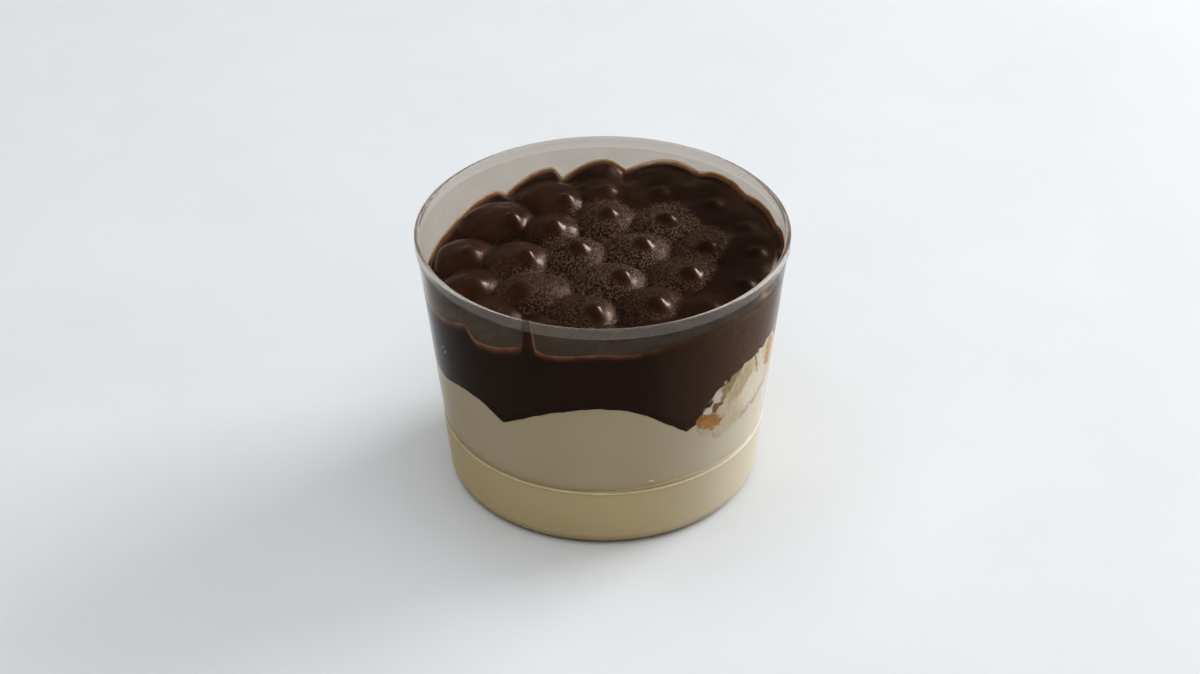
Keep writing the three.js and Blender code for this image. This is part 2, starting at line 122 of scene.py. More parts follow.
def turn_round(mesh_builder):
    """Spins an outline once round the cup's axis."""
    bmesh.ops.spin(
        mesh_builder, geom=mesh_builder.verts[:] + mesh_builder.edges[:], axis=(0, 0, 1), cent=(0, 0, 0),
        angle=math.tau, steps=CUP_STEPS, use_merge=True,
    )


def close_shell(mesh_builder):
    """Merges the points that meet and turns the faces outwards."""
    bmesh.ops.remove_doubles(mesh_builder, verts=mesh_builder.verts, dist=MERGE)
    bmesh.ops.recalc_face_normals(mesh_builder, faces=mesh_builder.faces)


cup_mesh = bmesh.new()
whole_profile = outside_profile + inside_profile[::-1]
outline = [cup_mesh.verts.new((radius, 0, height)) for radius, height in whole_profile]
for start, end in zip(outline, outline[1:]):
    cup_mesh.edges.new((start, end))
turn_round(cup_mesh)
close_shell(cup_mesh)
sharp_rings = [edge for edge in cup_mesh.edges if edge.calc_face_angle(0) > SHARP_TURN]
bmesh.ops.bevel(
    cup_mesh, geom=sharp_rings, offset=EDGE_ROUND, offset_type="OFFSET", segments=EDGE_ROUND_STEPS,
    profile=0.5, affect="EDGES", material=-1, clamp_overlap=True,
)


def settle(mesh_builder, name, material):
    """The finished object of a mesh built in millimetres, at the origin and in metres."""
    bmesh.ops.scale(mesh_builder, vec=(MM, MM, MM), verts=mesh_builder.verts)
    mesh = bpy.data.meshes.new(name)
    mesh_builder.to_mesh(mesh)
    mesh_builder.free()
    mesh.shade_smooth()
    mesh.materials.append(material)
    piece = bpy.data.objects.new(name, mesh)
    bpy.context.scene.collection.objects.link(piece)
    return piece


def new_finish(name):
    """A material with its node tree and its Principled shader."""
    material = bpy.data.materials.new(name)
    material.use_nodes = True
    tree = material.node_tree
    return material, tree, tree.nodes["Principled BSDF"]


def object_place(tree):
    """Object coordinates, in metres from the middle of the cup's underside."""
    return tree.nodes.new("ShaderNodeTexCoord").outputs["Object"]


def stored(tree, name):
    """A value that the piece keeps on each vertex."""
    node = tree.nodes.new("ShaderNodeAttribute")
    node.attribute_name = name
    return node.outputs["Fac"]


def noise_pattern(tree, place, grain_mm, detail=3.0, roughness=0.55):
    """Seamless noise whose largest grain is about grain_mm across."""
    pattern = tree.nodes.new("ShaderNodeTexNoise")
    pattern.inputs["Scale"].default_value = 1 / (grain_mm * MM)
    pattern.inputs["Detail"].default_value = detail
    pattern.inputs["Roughness"].default_value = roughness
    tree.links.new(place, pattern.inputs["Vector"])
    return pattern.outputs["Fac"]


def remap(tree, value, from_low, from_high, to_low, to_high):
    node = tree.nodes.new("ShaderNodeMapRange")
    node.inputs["From Min"].default_value = from_low
    node.inputs["From Max"].default_value = from_high
    node.inputs["To Min"].default_value = to_low
    node.inputs["To Max"].default_value = to_high
    tree.links.new(value, node.inputs["Value"])
    return node.outputs["Result"]


def multiply(tree, first, second):
    node = tree.nodes.new("ShaderNodeMath")
    node.operation = "MULTIPLY"
    tree.links.new(first, node.inputs[0])
    tree.links.new(second, node.inputs[1])
    return node.outputs["Value"]


def blend_colours(tree, share, first, second):
    """first where share is 0 and second where it is 1. Each is a colour or a socket."""
    node = tree.nodes.new("ShaderNodeMix")
    node.data_type = "RGBA"
    tree.links.new(share, node.inputs["Factor"])
    for name, colour in (("A", first), ("B", second)):
        socket = [s for s in node.inputs if s.name == name and s.type == "RGBA"][0]
        if isinstance(colour, tuple):
            socket.default_value = (*colour, 1)
        else:
            tree.links.new(colour, socket)
    return [s for s in node.outputs if s.type == "RGBA"][0]


def relief(tree, shader, height, distance_mm):
    """Bump on the shader from a height of 0 to 1, with a full depth of distance_mm."""
    bump = tree.nodes.new("ShaderNodeBump")
    bump.inputs["Distance"].default_value = distance_mm * MM
    tree.links.new(height, bump.inputs["Height"])
    tree.links.new(bump.outputs["Normal"], shader.inputs["Normal"])


PLASTIC_TINT = (0.75, 0.60, 0.50)
LET_THROUGH = (0.80, 0.79, 0.77)
SCUFF_SIZE = 9.0
FLOW_SIZE = 14.0
FLOW_DEPTH = 0.05


def polypropylene(name, colour, clear_share, ior, smoothest, roughest):
    """Slightly hazy plastic that lets the lamps' light through to what it holds."""
    material, tree, shader = new_finish(name)
    shader.inputs["Base Color"].default_value = (*colour, 1)
    shader.inputs["Transmission Weight"].default_value = clear_share
    shader.inputs["IOR"].default_value = ior
    shader.inputs["Specular Tint"].default_value = (*PLASTIC_TINT, 1)
    place = object_place(tree)
    scuffs = noise_pattern(tree, place, SCUFF_SIZE, detail=6.0, roughness=0.7)
    tree.links.new(remap(tree, scuffs, 0.35, 0.7, smoothest, roughest), shader.inputs["Roughness"])
    relief(tree, shader, noise_pattern(tree, place, FLOW_SIZE, detail=2.0), FLOW_DEPTH)
    open_to_lamps = tree.nodes.new("ShaderNodeBsdfTransparent")
    open_to_lamps.inputs["Color"].default_value = (*LET_THROUGH, 1)
    ray = tree.nodes.new("ShaderNodeLightPath")
    mix = tree.nodes.new("ShaderNodeMixShader")
    tree.links.new(ray.outputs["Is Shadow Ray"], mix.inputs[0])
    tree.links.new(shader.outputs["BSDF"], mix.inputs[1])
    tree.links.new(open_to_lamps.outputs["BSDF"], mix.inputs[2])
    tree.links.new(mix.outputs["Shader"], tree.nodes["Material Output"].inputs["Surface"])
    return material, tree, shader


# Fat mists the inside of the wall, in patches, where the filling doesn't wet it
WALL_COLOUR = (0.605, 0.58, 0.54)
MISTED_COLOUR = (0.52, 0.44, 0.365)
LIP_COLOUR = (0.66, 0.60, 0.545)
WETTED_CLEAR = 0.994
MISTED_CLEAR = 0.84
MIST_PATCH_SIZE = 11.0
THINNEST_MIST = 0.55
THICKEST_MIST = 1.25
hazy_wall, wall_tree, wall_shader = polypropylene(
    "hazy_polypropylene", WALL_COLOUR, clear_share=WETTED_CLEAR, ior=1.06, smoothest=0.05, roughest=0.15,
)
mist = stored(wall_tree, "mist")
mist_pattern = noise_pattern(wall_tree, object_place(wall_tree), MIST_PATCH_SIZE, detail=2.0)
mist_patches = remap(wall_tree, mist_pattern, 0.35, 0.65, THINNEST_MIST, THICKEST_MIST)
patchy_mist = multiply(wall_tree, mist, mist_patches)
least_clear = WETTED_CLEAR + (MISTED_CLEAR - WETTED_CLEAR) * THICKEST_MIST
clearness = remap(wall_tree, patchy_mist, 0, THICKEST_MIST, WETTED_CLEAR, least_clear)
wall_tree.links.new(clearness, wall_shader.inputs["Transmission Weight"])
wall_colour = blend_colours(wall_tree, mist, WALL_COLOUR, MISTED_COLOUR)
wall_tree.links.new(wall_colour, wall_shader.inputs["Base Color"])
milky_lip = polypropylene(
    "milky_polypropylene", LIP_COLOUR, clear_share=0.88, ior=1.2, smoothest=0.1, roughest=0.18,
)[0]
cup = settle(cup_mesh, "clear_cup", hazy_wall)
cup.data.materials.append(milky_lip)
for polygon in cup.data.polygons:
    polygon.material_index = int(polygon.center.z > (wall_top - LIP_STEP) * MM)
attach(cup, "root")
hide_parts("cup")

# The stacking bead: a thin pale ring in the waist's notch, a painted highlight for the bright line that the
# waist's ledge catches from the lamps.
# The small moulding marks and scratches on the wall are the plastic's own pale marks, in the same finish.
BEAD = {"radius": 41.44, "height": 17.32, "thickness": 0.24, "sides": 12}
# Marks on the wall: direction, height, half width and half height
MOULD_MARKS = [(-64.8, 16.1, 0.25, 0.9), (28.9, 13.9, 0.3, 0.6), (16.2, 20.4, 0.8, 0.3)]
SCRATCHES = [(-63.5, 47.6, 0.05, 0.5), (-62.2, 46.6, 0.05, 0.4), (-61.4, 47.2, 0.25, 0.05)]
MARK_DEPTH = 0.12
MARK_FINENESS = 3
# Streaky pale colours: a painted highlight on the bead, and the own colour of the marks and scratches
HIGHLIGHT_AND_MARK_COLOURS = ((0.64, 0.53, 0.32), (0.84, 0.71, 0.46))
# Their colour at the cup's right: painted light from the lamps on that side
HIGHLIGHT_AND_MARKS_PAINTED_LIT = (0.96, 0.92, 0.80)
# Painted light: the cup's right is painted paler between these distances along X, in millimetres
PAINTED_LIGHT_FROM = 10
PAINTED_LIGHT_FULL_AT = 42


def outside_radius(height):
    return np.interp(height, *zip(*[(z, radius) for radius, z in outside_profile[2:-2]]))


def painted_light_side(tree, place):
    """0 at the middle of the cup and 1 at its right, where the cup and what it holds are painted paler:
    painted light from the lamps on that side.
    """
    split = tree.nodes.new("ShaderNodeSeparateXYZ")
    tree.links.new(place, split.inputs["Vector"])
    return remap(tree, split.outputs["X"], PAINTED_LIGHT_FROM * MM, PAINTED_LIGHT_FULL_AT * MM, 0, 1)


def patches(tree, place, size_mm, low=0.3, high=0.7, **look):
    """Cloudy patches from 0 to 1, the largest about size_mm across."""
    return remap(tree, noise_pattern(tree, place, size_mm, **look), low, high, 0, 1)


# The bead's painted highlight, and the pale marks and scratches
def highlight_and_marks_finish():
    material, tree, shader = new_finish("painted_highlight_and_marks_plastic")
    place = object_place(tree)
    streaks = patches(tree, place, size_mm=5.0, detail=5.0)
    streaky = blend_colours(tree, streaks, *HIGHLIGHT_AND_MARK_COLOURS)
    colour = blend_colours(tree, painted_light_side(tree, place), streaky, HIGHLIGHT_AND_MARKS_PAINTED_LIT)
    tree.links.new(colour, shader.inputs["Base Color"])
    shader.inputs["Roughness"].default_value = 0.25
    return material


bead_mesh = bmesh.new()
bmesh.ops.create_circle(
    bead_mesh, radius=BEAD["thickness"], segments=BEAD["sides"],
    matrix=Matrix.Translation((BEAD["radius"], 0, BEAD["height"])) @ Matrix.Rotation(math.pi / 2, 4, "X"),
)
turn_round(bead_mesh)
for direction, height, half_width, half_height in MOULD_MARKS + SCRATCHES:
    turned = Matrix.Rotation(math.radians(direction), 4, "Z")
    against_wall = Matrix.Translation((0, -outside_radius(height), height))
    flattened = Matrix.Diagonal((half_width, MARK_DEPTH, half_height, 1))
    bmesh.ops.create_icosphere(
        bead_mesh, subdivisions=MARK_FINENESS, radius=1, matrix=turned @ against_wall @ flattened,
    )
close_shell(bead_mesh)
bead = settle(bead_mesh, "waist_bead", highlight_and_marks_finish())
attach(bead, "root")

# The custard: a set vanilla custard poured first, up to the waist of the cup and a little
# higher on one side. It fills the foot to its thin skin, so its mesh reaches into the plastic.
CUSTARD_LEVEL = 17.2
CUSTARD_SWELL = {"toward": 28, "height": 1.5, "spread": 26}
CUSTARD_YELLOWS = ((0.87, 0.69, 0.385), (0.90, 0.74, 0.44))
# The custard's colour at the cup's right: painted light from the lamps on that side
CUSTARD_PAINTED_LIT = (0.975, 0.925, 0.79)
FOOT_SKIN = 0.3
# The custard's underside steps down between these distances outside the recess
STEP_FROM = 0.6
STEP_TO = 2.0
EDGE_PASSES = 6


def soft_step(value, low, high):
    """0 below low, 1 above high, and a smooth rise between."""
    share = np.clip((value - low) / (high - low), 0, 1)
    return share * share * (3 - 2 * share)


def inside_radius(height):
    return np.interp(height, *zip(*[(z, radius) for radius, z in inside_profile[1:]]))


def direction_of(x, y):
    """Degrees round the cup from the front, towards +X."""
    return np.degrees(np.arctan2(x, -y))


def custard_top(x, y):
    swell = (direction_of(x, y) - CUSTARD_SWELL["toward"]) / CUSTARD_SWELL["spread"]
    outward = np.hypot(x, y) / WAIST_RADIUS
    return CUSTARD_LEVEL + CUSTARD_SWELL["height"] * np.exp(-swell * swell) * outward * outward


def custard_bottom(x, y):
    over_recess = 1 - soft_step(np.hypot(x, y), RECESS_RADIUS + STEP_FROM, RECESS_RADIUS + STEP_TO)
    return FOOT_SKIN + RECESS_DEPTH * over_recess


def custard_reach(height):
    return outside_radius(height) - FOOT_SKIN


def vertex_places(mesh_builder):
    return np.array([vert.co for vert in mesh_builder.verts])


def move_vertices(mesh_builder, places):
    for vert, place in zip(mesh_builder.verts, places):
        vert.co = place


def poured_layer(bottom, top, reach, steps, top_rings, side_rings, bottom_rings, crowding=1.0):
    """A filling between two height functions, out to a radius that depends on the height. It is a
    flat grid wrapped round: its columns are directions, and its rows run over the top, down the
    side and back below. crowding above 1 draws the top rows towards the wall."""
    rings = top_rings + side_rings + bottom_rings
    layer = bmesh.new()
    bmesh.ops.create_grid(layer, x_segments=steps, y_segments=rings, size=1)
    turn = np.linspace(-math.pi, math.pi, steps + 1)
    across, back = np.cos(turn), np.sin(turn)
    ring = np.arange(rings + 1)[:, None]

    def edge_at(surface):
        radius = np.full_like(turn, WAIST_RADIUS)
        for _ in range(EDGE_PASSES):
            height = surface(across * radius, back * radius)
            radius = reach(height)
        return radius, height

    top_radius, top_height = edge_at(top)
    bottom_radius, bottom_height = edge_at(bottom)
    top_share = 1 - (1 - np.clip(ring / top_rings, 0, 1)) ** crowding
    bottom_share = np.clip((rings - ring) / bottom_rings, 0, 1)
    side_share = np.clip((ring - top_rings) / side_rings, 0, 1)
    height = top_height + (bottom_height - top_height) * side_share
    radius = np.where(ring <= top_rings, top_radius * top_share, reach(height))
    radius = np.where(ring >= rings - bottom_rings, bottom_radius * bottom_share, radius)
    x, y = across * radius, back * radius
    height = np.where(ring <= top_rings, top(x, y), height)
    height = np.where(ring >= rings - bottom_rings, bottom(x, y), height)
    move_vertices(layer, np.stack([x.ravel(), y.ravel(), height.ravel()], 1))
    close_shell(layer)
    return layer


def smooth_filling(name, patch_size, colours, painted_lit, grain_size):
    """A matt set filling: two cloudy colours, painted paler at the cup's right as painted light, and a very
    fine grain.
    """
    material, tree, shader = new_finish(name)
    place = object_place(tree)
    cloudy = blend_colours(tree, patches(tree, place, patch_size), *colours)
    colour = blend_colours(tree, painted_light_side(tree, place), cloudy, painted_lit)
    tree.links.new(colour, shader.inputs["Base Color"])
    shader.inputs["Roughness"].default_value = 0.5
    shader.inputs["Specular IOR Level"].default_value = 0.1
    relief(tree, shader, noise_pattern(tree, place, grain_size, detail=4.0), distance_mm=0.04)
    return material


custard_mesh = poured_layer(
    custard_bottom, custard_top, custard_reach, steps=240, top_rings=20, side_rings=60, bottom_rings=30,
)
custard_finish = smooth_filling(
    "set_custard", patch_size=16.0, colours=CUSTARD_YELLOWS, painted_lit=CUSTARD_PAINTED_LIT, grain_size=1.2,
)
custard = settle(custard_mesh, "custard", custard_finish)
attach(custard, "root")
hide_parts("custard_base")

# The cream: a thick white cream spooned over the custard and pushed about, so that its upper
# edge runs round the wall in waves. Chocolate sauce fills the hollows between the crests.
ROUND = 0
SHARP = 1
# The edge on the wall: direction, height, and whether it is a round crest or dip or a cusp
CREAM_EDGE = [
    (-150, 40, ROUND), (-100, 37.5, ROUND), (-72, 36.2, ROUND), (-50, 39.2, ROUND), (-35.5, 35, SHARP),
    (0, 45, ROUND), (28.5, 33.2, SHARP), (56, 41, ROUND), (90, 44, ROUND), (140, 39.5, ROUND),
    (180, 41.5, ROUND),
]
CREAM_MIDDLE = 41
CREAM_INTO_WALL = 0.2
CREAM_RIPPLES = [(4.5, 0.35, 2.0), (1.6, 0.2, 6.0)]
CREAM_COLOURS = ((0.71, 0.59, 0.39), (0.75, 0.635, 0.435))
# The cream's colour at the cup's right: painted light from the lamps on that side
CREAM_PAINTED_LIT = (0.95, 0.89, 0.775)
LAYER_OVERLAP = 0.15
EDGE_SHARES = {
    (ROUND, ROUND): lambda part: (1 - np.cos(math.pi * part)) / 2,
    (SHARP, SHARP): lambda part: part,
    (SHARP, ROUND): lambda part: np.sin(math.pi / 2 * part),
    (ROUND, SHARP): lambda part: 1 - np.cos(math.pi / 2 * part),
}


def edge_height(edge, direction):
    """Height of a closed wavy edge. The second % brings a 360 left by rounding back to 0."""
    first = edge[0][0]
    turned_to = (direction - first) % 360 % 360 + first
    closed = edge + [(first + 360, edge[0][1], edge[0][2])]
    height = np.zeros_like(turned_to)
    for (start, low, start_shape), (end, high, end_shape) in zip(closed, closed[1:]):
        part = np.clip((turned_to - start) / (end - start), 0, 1)
        share = EDGE_SHARES[start_shape, end_shape](part)
        height = np.where((turned_to >= start) & (turned_to < end), low + (high - low) * share, height)
    return height


def noise_at(places, size, seed):
    """Perlin noise from -1 to 1 with lumps of that size, at an array of places."""
    shift = Vector((seed, seed, seed))
    return np.array([noise.noise(Vector(place) / size + shift) for place in places])


def uneven(places, rows):
    """Small lumps at an array of places: each row has their size, their height and a seed."""
    return sum(height * noise_at(places, size, seed) for size, height, seed in rows)


def ripples(x, y, rows):
    """Small uneven waves in a surface over x and y."""
    places = np.stack([np.ravel(x), np.ravel(y), np.zeros(np.size(x))], 1)
    return uneven(places, rows).reshape(np.shape(x))


def cream_top(x, y):
    outward = np.hypot(x, y) / inside_radius(CREAM_MIDDLE)
    share = np.minimum(outward * outward, 1)
    edge = edge_height(CREAM_EDGE, direction_of(x, y)) + ripples(x, y, CREAM_RIPPLES)
    return CREAM_MIDDLE + (edge - CREAM_MIDDLE) * share


def cream_bottom(x, y):
    return custard_top(x, y) - LAYER_OVERLAP


def cream_reach(height):
    return inside_radius(height) + CREAM_INTO_WALL


cream_mesh = poured_layer(
    cream_bottom, cream_top, cream_reach, steps=480, top_rings=30, side_rings=60, bottom_rings=10,
)
cream_finish = smooth_filling(
    "thick_cream", patch_size=20.0, colours=CREAM_COLOURS, painted_lit=CREAM_PAINTED_LIT, grain_size=0.9,
)
cream = settle(cream_mesh, "cream", cream_finish)
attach(cream, "root")
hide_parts("cream_layer")

# The pressed profiterole: a torn choux bun that slid down between the cream and the wall, and
# bent round it. Its pale inside lies flat on the plastic, with scraps of amber crust above.
PRESSED = {"direction": 57.3, "height": 38.8, "in_from": 3.4, "half": (21, 8, 10), "tilt": -11.7}
PRESSED_INTO_WALL = 0.35
PRESSED_FINENESS = 7
# Broad and fine waves in its form, as waves along and up it, and the smaller lumps of torn crumb
BUN_WAVES = {"broad": (5, 4), "shift": 1, "fine": (9, -6), "fine_share": 0.6, "height": 0.05}
BUN_LUMPS = [(3.6, 1.3, 0.0), (1.8, 0.8, 4.0), (0.9, 0.35, 7.0)]
# What shows on the wall: direction, height, half length, half width, and lean in degrees
AMBER_SCRAPS = [(37.6, 34.1, 4.6, 2.3, -26), (71.5, 42.5, 5.0, 2.8, -80)]
BROWN_SCRAPS = [(39.8, 37.8, 1.6, 1.1, 97), (41.2, 38.2, 1.5, 0.45, -7), (60.0, 44.2, 4.8, 0.28, -69)]
OLIVE_SCRAPS = [(46.6, 44.0, 5.2, 1.8, 46), (43.0, 40.0, 1.6, 1.2, 30)]
TAN_SCRAPS = [(52.0, 41.0, 5.0, 2.6, 46), (44.8, 40.4, 2.6, 1.3, -14)]
WHITE_SCRAPS = [
    (36.5, 37.7, 1.4, 1.2, 4), (40.3, 40.9, 1.7, 1.3, -86), (52.1, 48.5, 1.5, 0.7, 22),
    (63.8, 43.0, 5.7, 1.1, -66),
]
BRIGHT_INSIDE = [(60.5, 36.5, 7.0, 5.0, 10)]
RAGGED_EDGE = [(1.7, 0.45, 3.0), (0.7, 0.3, 5.0)]
# The smear of sauce along its top edge, and painted shade along the fold round its rim, in shares of its
# size
SMEAR = {"out_from": 0.78, "out_to": 0.84, "up_from": -0.1, "up_to": 0.15, "ragged": [(1.5, 0.16, 9.0)]}
FOLD_SHADE = {"depth": 0.47, "width": 0.14, "strength": 0.5, "below": 0.1, "along_from": -0.35, "along_to": 0.0}
CRUMB_COLOURS = ((0.74, 0.61, 0.44), (0.88, 0.76, 0.57))
# Colours laid over the crumb, from the lowest to the topmost
CHOUX_LAYERS = [
    ("bright", (0.97, 0.89, 0.73), (0.985, 0.915, 0.77)),
    ("tan", (0.60, 0.46, 0.28), (0.74, 0.62, 0.42)),
    ("olive", (0.36, 0.25, 0.11), (0.54, 0.41, 0.21)),
    ("smear", (0.05, 0.021, 0.011), (0.09, 0.042, 0.022)),
    ("amber", (0.45, 0.19, 0.055), (0.74, 0.40, 0.14)),
    ("brown", (0.17, 0.08, 0.03), (0.34, 0.18, 0.07)),
    ("white", (0.90, 0.77, 0.68), (0.98, 0.88, 0.80)),
    # Painted shade along the fold round the bun's rim
    ("fold_shade", (0.42, 0.32, 0.20), (0.55, 0.44, 0.30)),
]


def scrap_share(scraps, direction, height, ragged, softness=0.15):
    """How far each point of the wall lies inside the nearest scrap, from 0 to 1."""
    best = np.zeros_like(direction)
    for toward, middle, half_length, half_width, lean in scraps:
        along = np.radians(direction - toward) * inside_radius(PRESSED["height"])
        up = height - middle
        cos, sin = math.cos(math.radians(lean)), math.sin(math.radians(lean))
        far = np.hypot((along * cos + up * sin) / half_length, (up * cos - along * sin) / half_width)
        best = np.maximum(best, 1 - soft_step(far + ragged, 1 - softness, 1 + softness))
    return best


def store(piece, name, values):
    """A value on each vertex that the piece's material reads."""
    attribute = piece.data.attributes.new(name, "FLOAT", "POINT")
    attribute.data.foreach_set("value", np.asarray(values, dtype=np.float32))


def choux_finish():
    material, tree, shader = new_finish("torn_choux")
    crumb = patches(tree, object_place(tree), size_mm=1.6, detail=5.0, roughness=0.65)
    colour = blend_colours(tree, crumb, *CRUMB_COLOURS)
    for name, low, high in CHOUX_LAYERS:
        colour = blend_colours(tree, stored(tree, name), colour, blend_colours(tree, crumb, low, high))
    tree.links.new(colour, shader.inputs["Base Color"])
    shader.inputs["Roughness"].default_value = 0.5
    shader.inputs["Specular IOR Level"].default_value = 0.1
    relief(tree, shader, crumb, distance_mm=0.12)
    return material


pressed_mesh = bmesh.new()
bmesh.ops.create_icosphere(pressed_mesh, subdivisions=PRESSED_FINENESS, radius=1)
unit = vertex_places(pressed_mesh)
(broad_along, broad_up), (fine_along, fine_up) = BUN_WAVES["broad"], BUN_WAVES["fine"]
waves = np.sin(broad_along * unit[:, 0] + BUN_WAVES["shift"]) * np.cos(broad_up * unit[:, 2])
waves += BUN_WAVES["fine_share"] * np.sin(fine_along * unit[:, 0] + fine_up * unit[:, 2])
bun = unit * (1 + BUN_WAVES["height"] * waves[:, None]) * PRESSED["half"]
bun += unit * uneven(bun, BUN_LUMPS)[:, None]
bun = bun @ np.array(Matrix.Rotation(math.radians(PRESSED["tilt"]), 3, "Y")).T
wall_radius = inside_radius(PRESSED["height"])
bun_turn = math.radians(PRESSED["direction"]) + bun[:, 0] / wall_radius
bun_height = PRESSED["height"] + bun[:, 2]
bun_radius = np.minimum(
    wall_radius - PRESSED["in_from"] - bun[:, 1], inside_radius(bun_height) + PRESSED_INTO_WALL,
)
bent = np.stack([bun_radius * np.sin(bun_turn), -bun_radius * np.cos(bun_turn), bun_height], 1)
move_vertices(pressed_mesh, bent)
pressed = settle(pressed_mesh, "pressed_bun", choux_finish())
bun_direction = np.degrees(bun_turn)
on_wall = np.stack([np.radians(bun_direction) * wall_radius, np.zeros_like(bun_height), bun_height], 1)
ragged = uneven(on_wall, RAGGED_EDGE)
for name, scraps in (
    ("amber", AMBER_SCRAPS), ("brown", BROWN_SCRAPS), ("olive", OLIVE_SCRAPS), ("tan", TAN_SCRAPS),
    ("white", WHITE_SCRAPS),
):
    store(pressed, name, scrap_share(scraps, bun_direction, bun_height, ragged))
store(pressed, "bright", scrap_share(BRIGHT_INSIDE, bun_direction, bun_height, ragged / 2, softness=0.3))
outward = np.hypot(unit[:, 0], unit[:, 2]) + uneven(on_wall, SMEAR["ragged"])
smeared = soft_step(outward, SMEAR["out_from"], SMEAR["out_to"])
store(pressed, "smear", smeared * soft_step(unit[:, 2], SMEAR["up_from"], SMEAR["up_to"]))
# Painted shade along the fold round the bun's rim
fold_shade_band = np.clip(1 - np.abs(unit[:, 1] + FOLD_SHADE["depth"]) / FOLD_SHADE["width"], 0, 1)
fold_shade_along = soft_step(unit[:, 0], FOLD_SHADE["along_from"], FOLD_SHADE["along_to"])
store(pressed, "fold_shade", FOLD_SHADE["strength"] * fold_shade_band * (unit[:, 2] < FOLD_SHADE["below"]) * fold_shade_along)
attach(pressed, "root")
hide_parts("pressed_profiterole")

# The chocolate sauce: poured over everything while warm. It is lowest at the left, drowns the
# profiteroles at the right, and dries in a thin film along a scalloped edge on the wall.
SAUCE_EDGE = [
    (-166.6, 58.3, SHARP), (-162.5, 61.8, ROUND), (-146, 57.4, SHARP), (-141, 59.4, ROUND),
    (-112, 56.2, ROUND), (-85, 54.9, ROUND), (-68, 56, ROUND), (-48, 60.6, SHARP), (-43, 57, ROUND),
    (-26, 60.4, SHARP), (-20.5, 60.4, SHARP), (-17.5, 59.6, ROUND), (0, 61, ROUND), (7, 60.5, ROUND),
    (24, 62.1, ROUND), (38, 63, ROUND), (58, 61.8, ROUND), (72, 61, ROUND), (95, 64.3, ROUND),
    (104, 63.1, SHARP), (113.7, 64, ROUND), (125.4, 63.1, SHARP), (136.5, 64.8, ROUND),
    (146, 63.3, SHARP), (155, 64.6, ROUND), (172, 60, SHARP), (179, 62.8, ROUND),
]
SAUCE_MIDDLE = 59.5
SAUCE_SLOPES = [
    {"toward": 104, "start": 12, "end": 34, "rise": 3.6},
    {"toward": 180, "start": 18, "end": 32, "rise": 1.2},
    {"toward": -90, "start": 15, "end": 37, "rise": -1.6},
]
SAUCE_EDGE_START = 30
SAUCE_INTO_WALL = 0.25
# The thin run that climbs the wall to the rim
RUN = {"direction": -23.5, "half_width": 0.85, "flare": 1.1, "top": 69.7, "thickness": 0.9}
FILM = {
    "height": 1.0, "thickness": 0.25, "starts_below": 0.4, "fades_in": 1.0, "full": 0.3,
    "unevenness": 0.35, "patches": 2.0, "off_run": 0.85, "run_core": 0.6,
}
# How far the film's colour goes, by direction: partly the film thinning out on the wall, and partly painted
# light, strongest and palest at the back, where light shines through it from behind
FILM_AND_BACKLIGHT_BY_DIRECTION = [
    (-180, 1.5), (-165, 1.8), (-120, 1.8), (-85, 1.3), (-60, 0.65), (0, 0.5), (20, 0.3), (40, 0.08),
    (80, 0.12), (105, 0.9), (142, 1.2), (150, 2.2), (166, 2.2), (172, 1.3), (180, 1.5),
]
